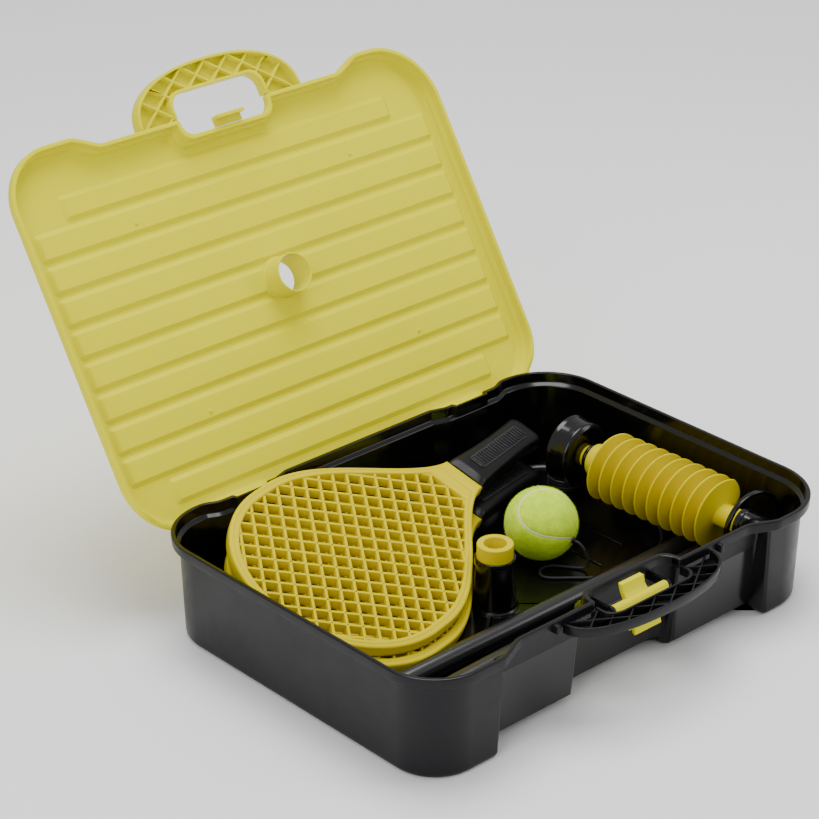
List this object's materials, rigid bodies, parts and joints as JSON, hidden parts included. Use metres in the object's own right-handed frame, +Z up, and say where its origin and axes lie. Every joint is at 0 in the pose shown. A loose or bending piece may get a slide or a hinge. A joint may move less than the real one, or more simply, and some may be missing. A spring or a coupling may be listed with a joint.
{
  "type": "tether tennis set",
  "caption": "Tether tennis set in an open hinged carry case: grid bats, felt ball on a tether, pole sections and a helical screw with its cap, beside a pole socket.",
  "frame": {"origin": "on the table under the pole socket, in the middle of the case base", "axes": "+X along the case's long side to the right, -Y to the carrying handle, +Z up out of the pole socket"},
  "size_m": [0.476, 0.5955, 0.3988],
  "materials": {
    "case_plastic": "satin moulded",
    "lid_plastic": "satin moulded",
    "yellow_plastic": "satin moulded",
    "bat_plastic": "satin moulded",
    "grip_plastic": "fine grain",
    "cap_plastic": "gloss moulded",
    "pole_steel": "gloss enamel",
    "pin_steel": "drawn wire",
    "ball_rubber": "matt",
    "ball_felt": "napped felt",
    "tether_cord": "braided"
  },
  "bodies": {
    "case": {"case_floor": "case_plastic", "case_front": "case_plastic", "case_right": "case_plastic", "case_back_right": "case_plastic", "case_back": "case_plastic", "case_back_left": "case_plastic", "case_left": "case_plastic", "floor_ribs": "case_plastic", "base_handle": "case_plastic", "pole_pillar": "case_plastic", "pole_socket": "yellow_plastic", "hinge_seat_left": "case_plastic", "hinge_seat_right": "case_plastic", "hinge_pin_left": "pin_steel", "hinge_pin_right": "pin_steel", "latch_ears": "case_plastic", "latch_pin": "pin_steel", "tether_run": "tether_cord", "tether_coil": "tether_cord", "tether_knot": "tether_cord"},
    "lid": {"lid_shell": "lid_plastic", "lid_ribs": "lid_plastic", "lid_collar": "lid_plastic", "lid_handle": "lid_plastic", "lid_catch": "lid_plastic", "lid_lug_left": "lid_plastic", "lid_lug_right": "lid_plastic"},
    "latch": {"latch_hook": "yellow_plastic"},
    "lower_bat": {"lower_rim": "bat_plastic", "lower_grid": "bat_plastic", "lower_grip": "grip_plastic", "lower_grip_pad": "grip_plastic"},
    "upper_bat": {"upper_rim": "bat_plastic", "upper_grid": "bat_plastic", "upper_grip": "grip_plastic", "upper_grip_pad": "grip_plastic"},
    "ball": {"ball_core": "ball_rubber", "ball_felt": "ball_felt", "ball_eye": "grip_plastic"},
    "poles": {"pole_back": "pole_steel", "pole_middle": "pole_steel", "pole_front": "pole_steel"},
    "helix": {"helix_core": "yellow_plastic", "helix_flight": "yellow_plastic", "helix_neck": "cap_plastic", "helix_cap": "cap_plastic", "helix_collar": "cap_plastic"},
    "rider": {"tether_ring": "cap_plastic"}
  },
  "joints": [
    {"name": "lid_hinge", "type": "hinge", "parent": "case", "child": "lid", "pos_m": [0, 0.16705, 0.08855], "axis": [-1, 0, 0], "range_deg": [-122.5, 0]},
    {"name": "latch_hinge", "type": "hinge", "parent": "case", "child": "latch", "pos_m": [0, -0.165, 0.081], "axis": [1, 0, 0], "range_deg": [0, 12]},
    {"name": "lower_bat_lift", "type": "slide", "parent": "case", "child": "lower_bat", "axis": [0, 0, 1], "range_m": [0, 0.1]},
    {"name": "upper_bat_lift", "type": "slide", "parent": "lower_bat", "child": "upper_bat", "axis": [0, 0, 1], "range_m": [0, 0.05]},
    {"name": "ball_lift", "type": "slide", "parent": "case", "child": "ball", "axis": [0, 0, 1], "range_m": [0, 0.1]},
    {"name": "poles_lift", "type": "slide", "parent": "case", "child": "poles", "axis": [0, 0, 1], "range_m": [0, 0.1]},
    {"name": "helix_lift", "type": "slide", "parent": "poles", "child": "helix", "axis": [0, 0, 1], "range_m": [0, 0.05]},
    {"name": "ring_climb", "type": "slide", "parent": "helix", "child": "rider", "axis": [-0.0431, 0.9991, 0], "range_m": [0, 0.02]}
  ]
}
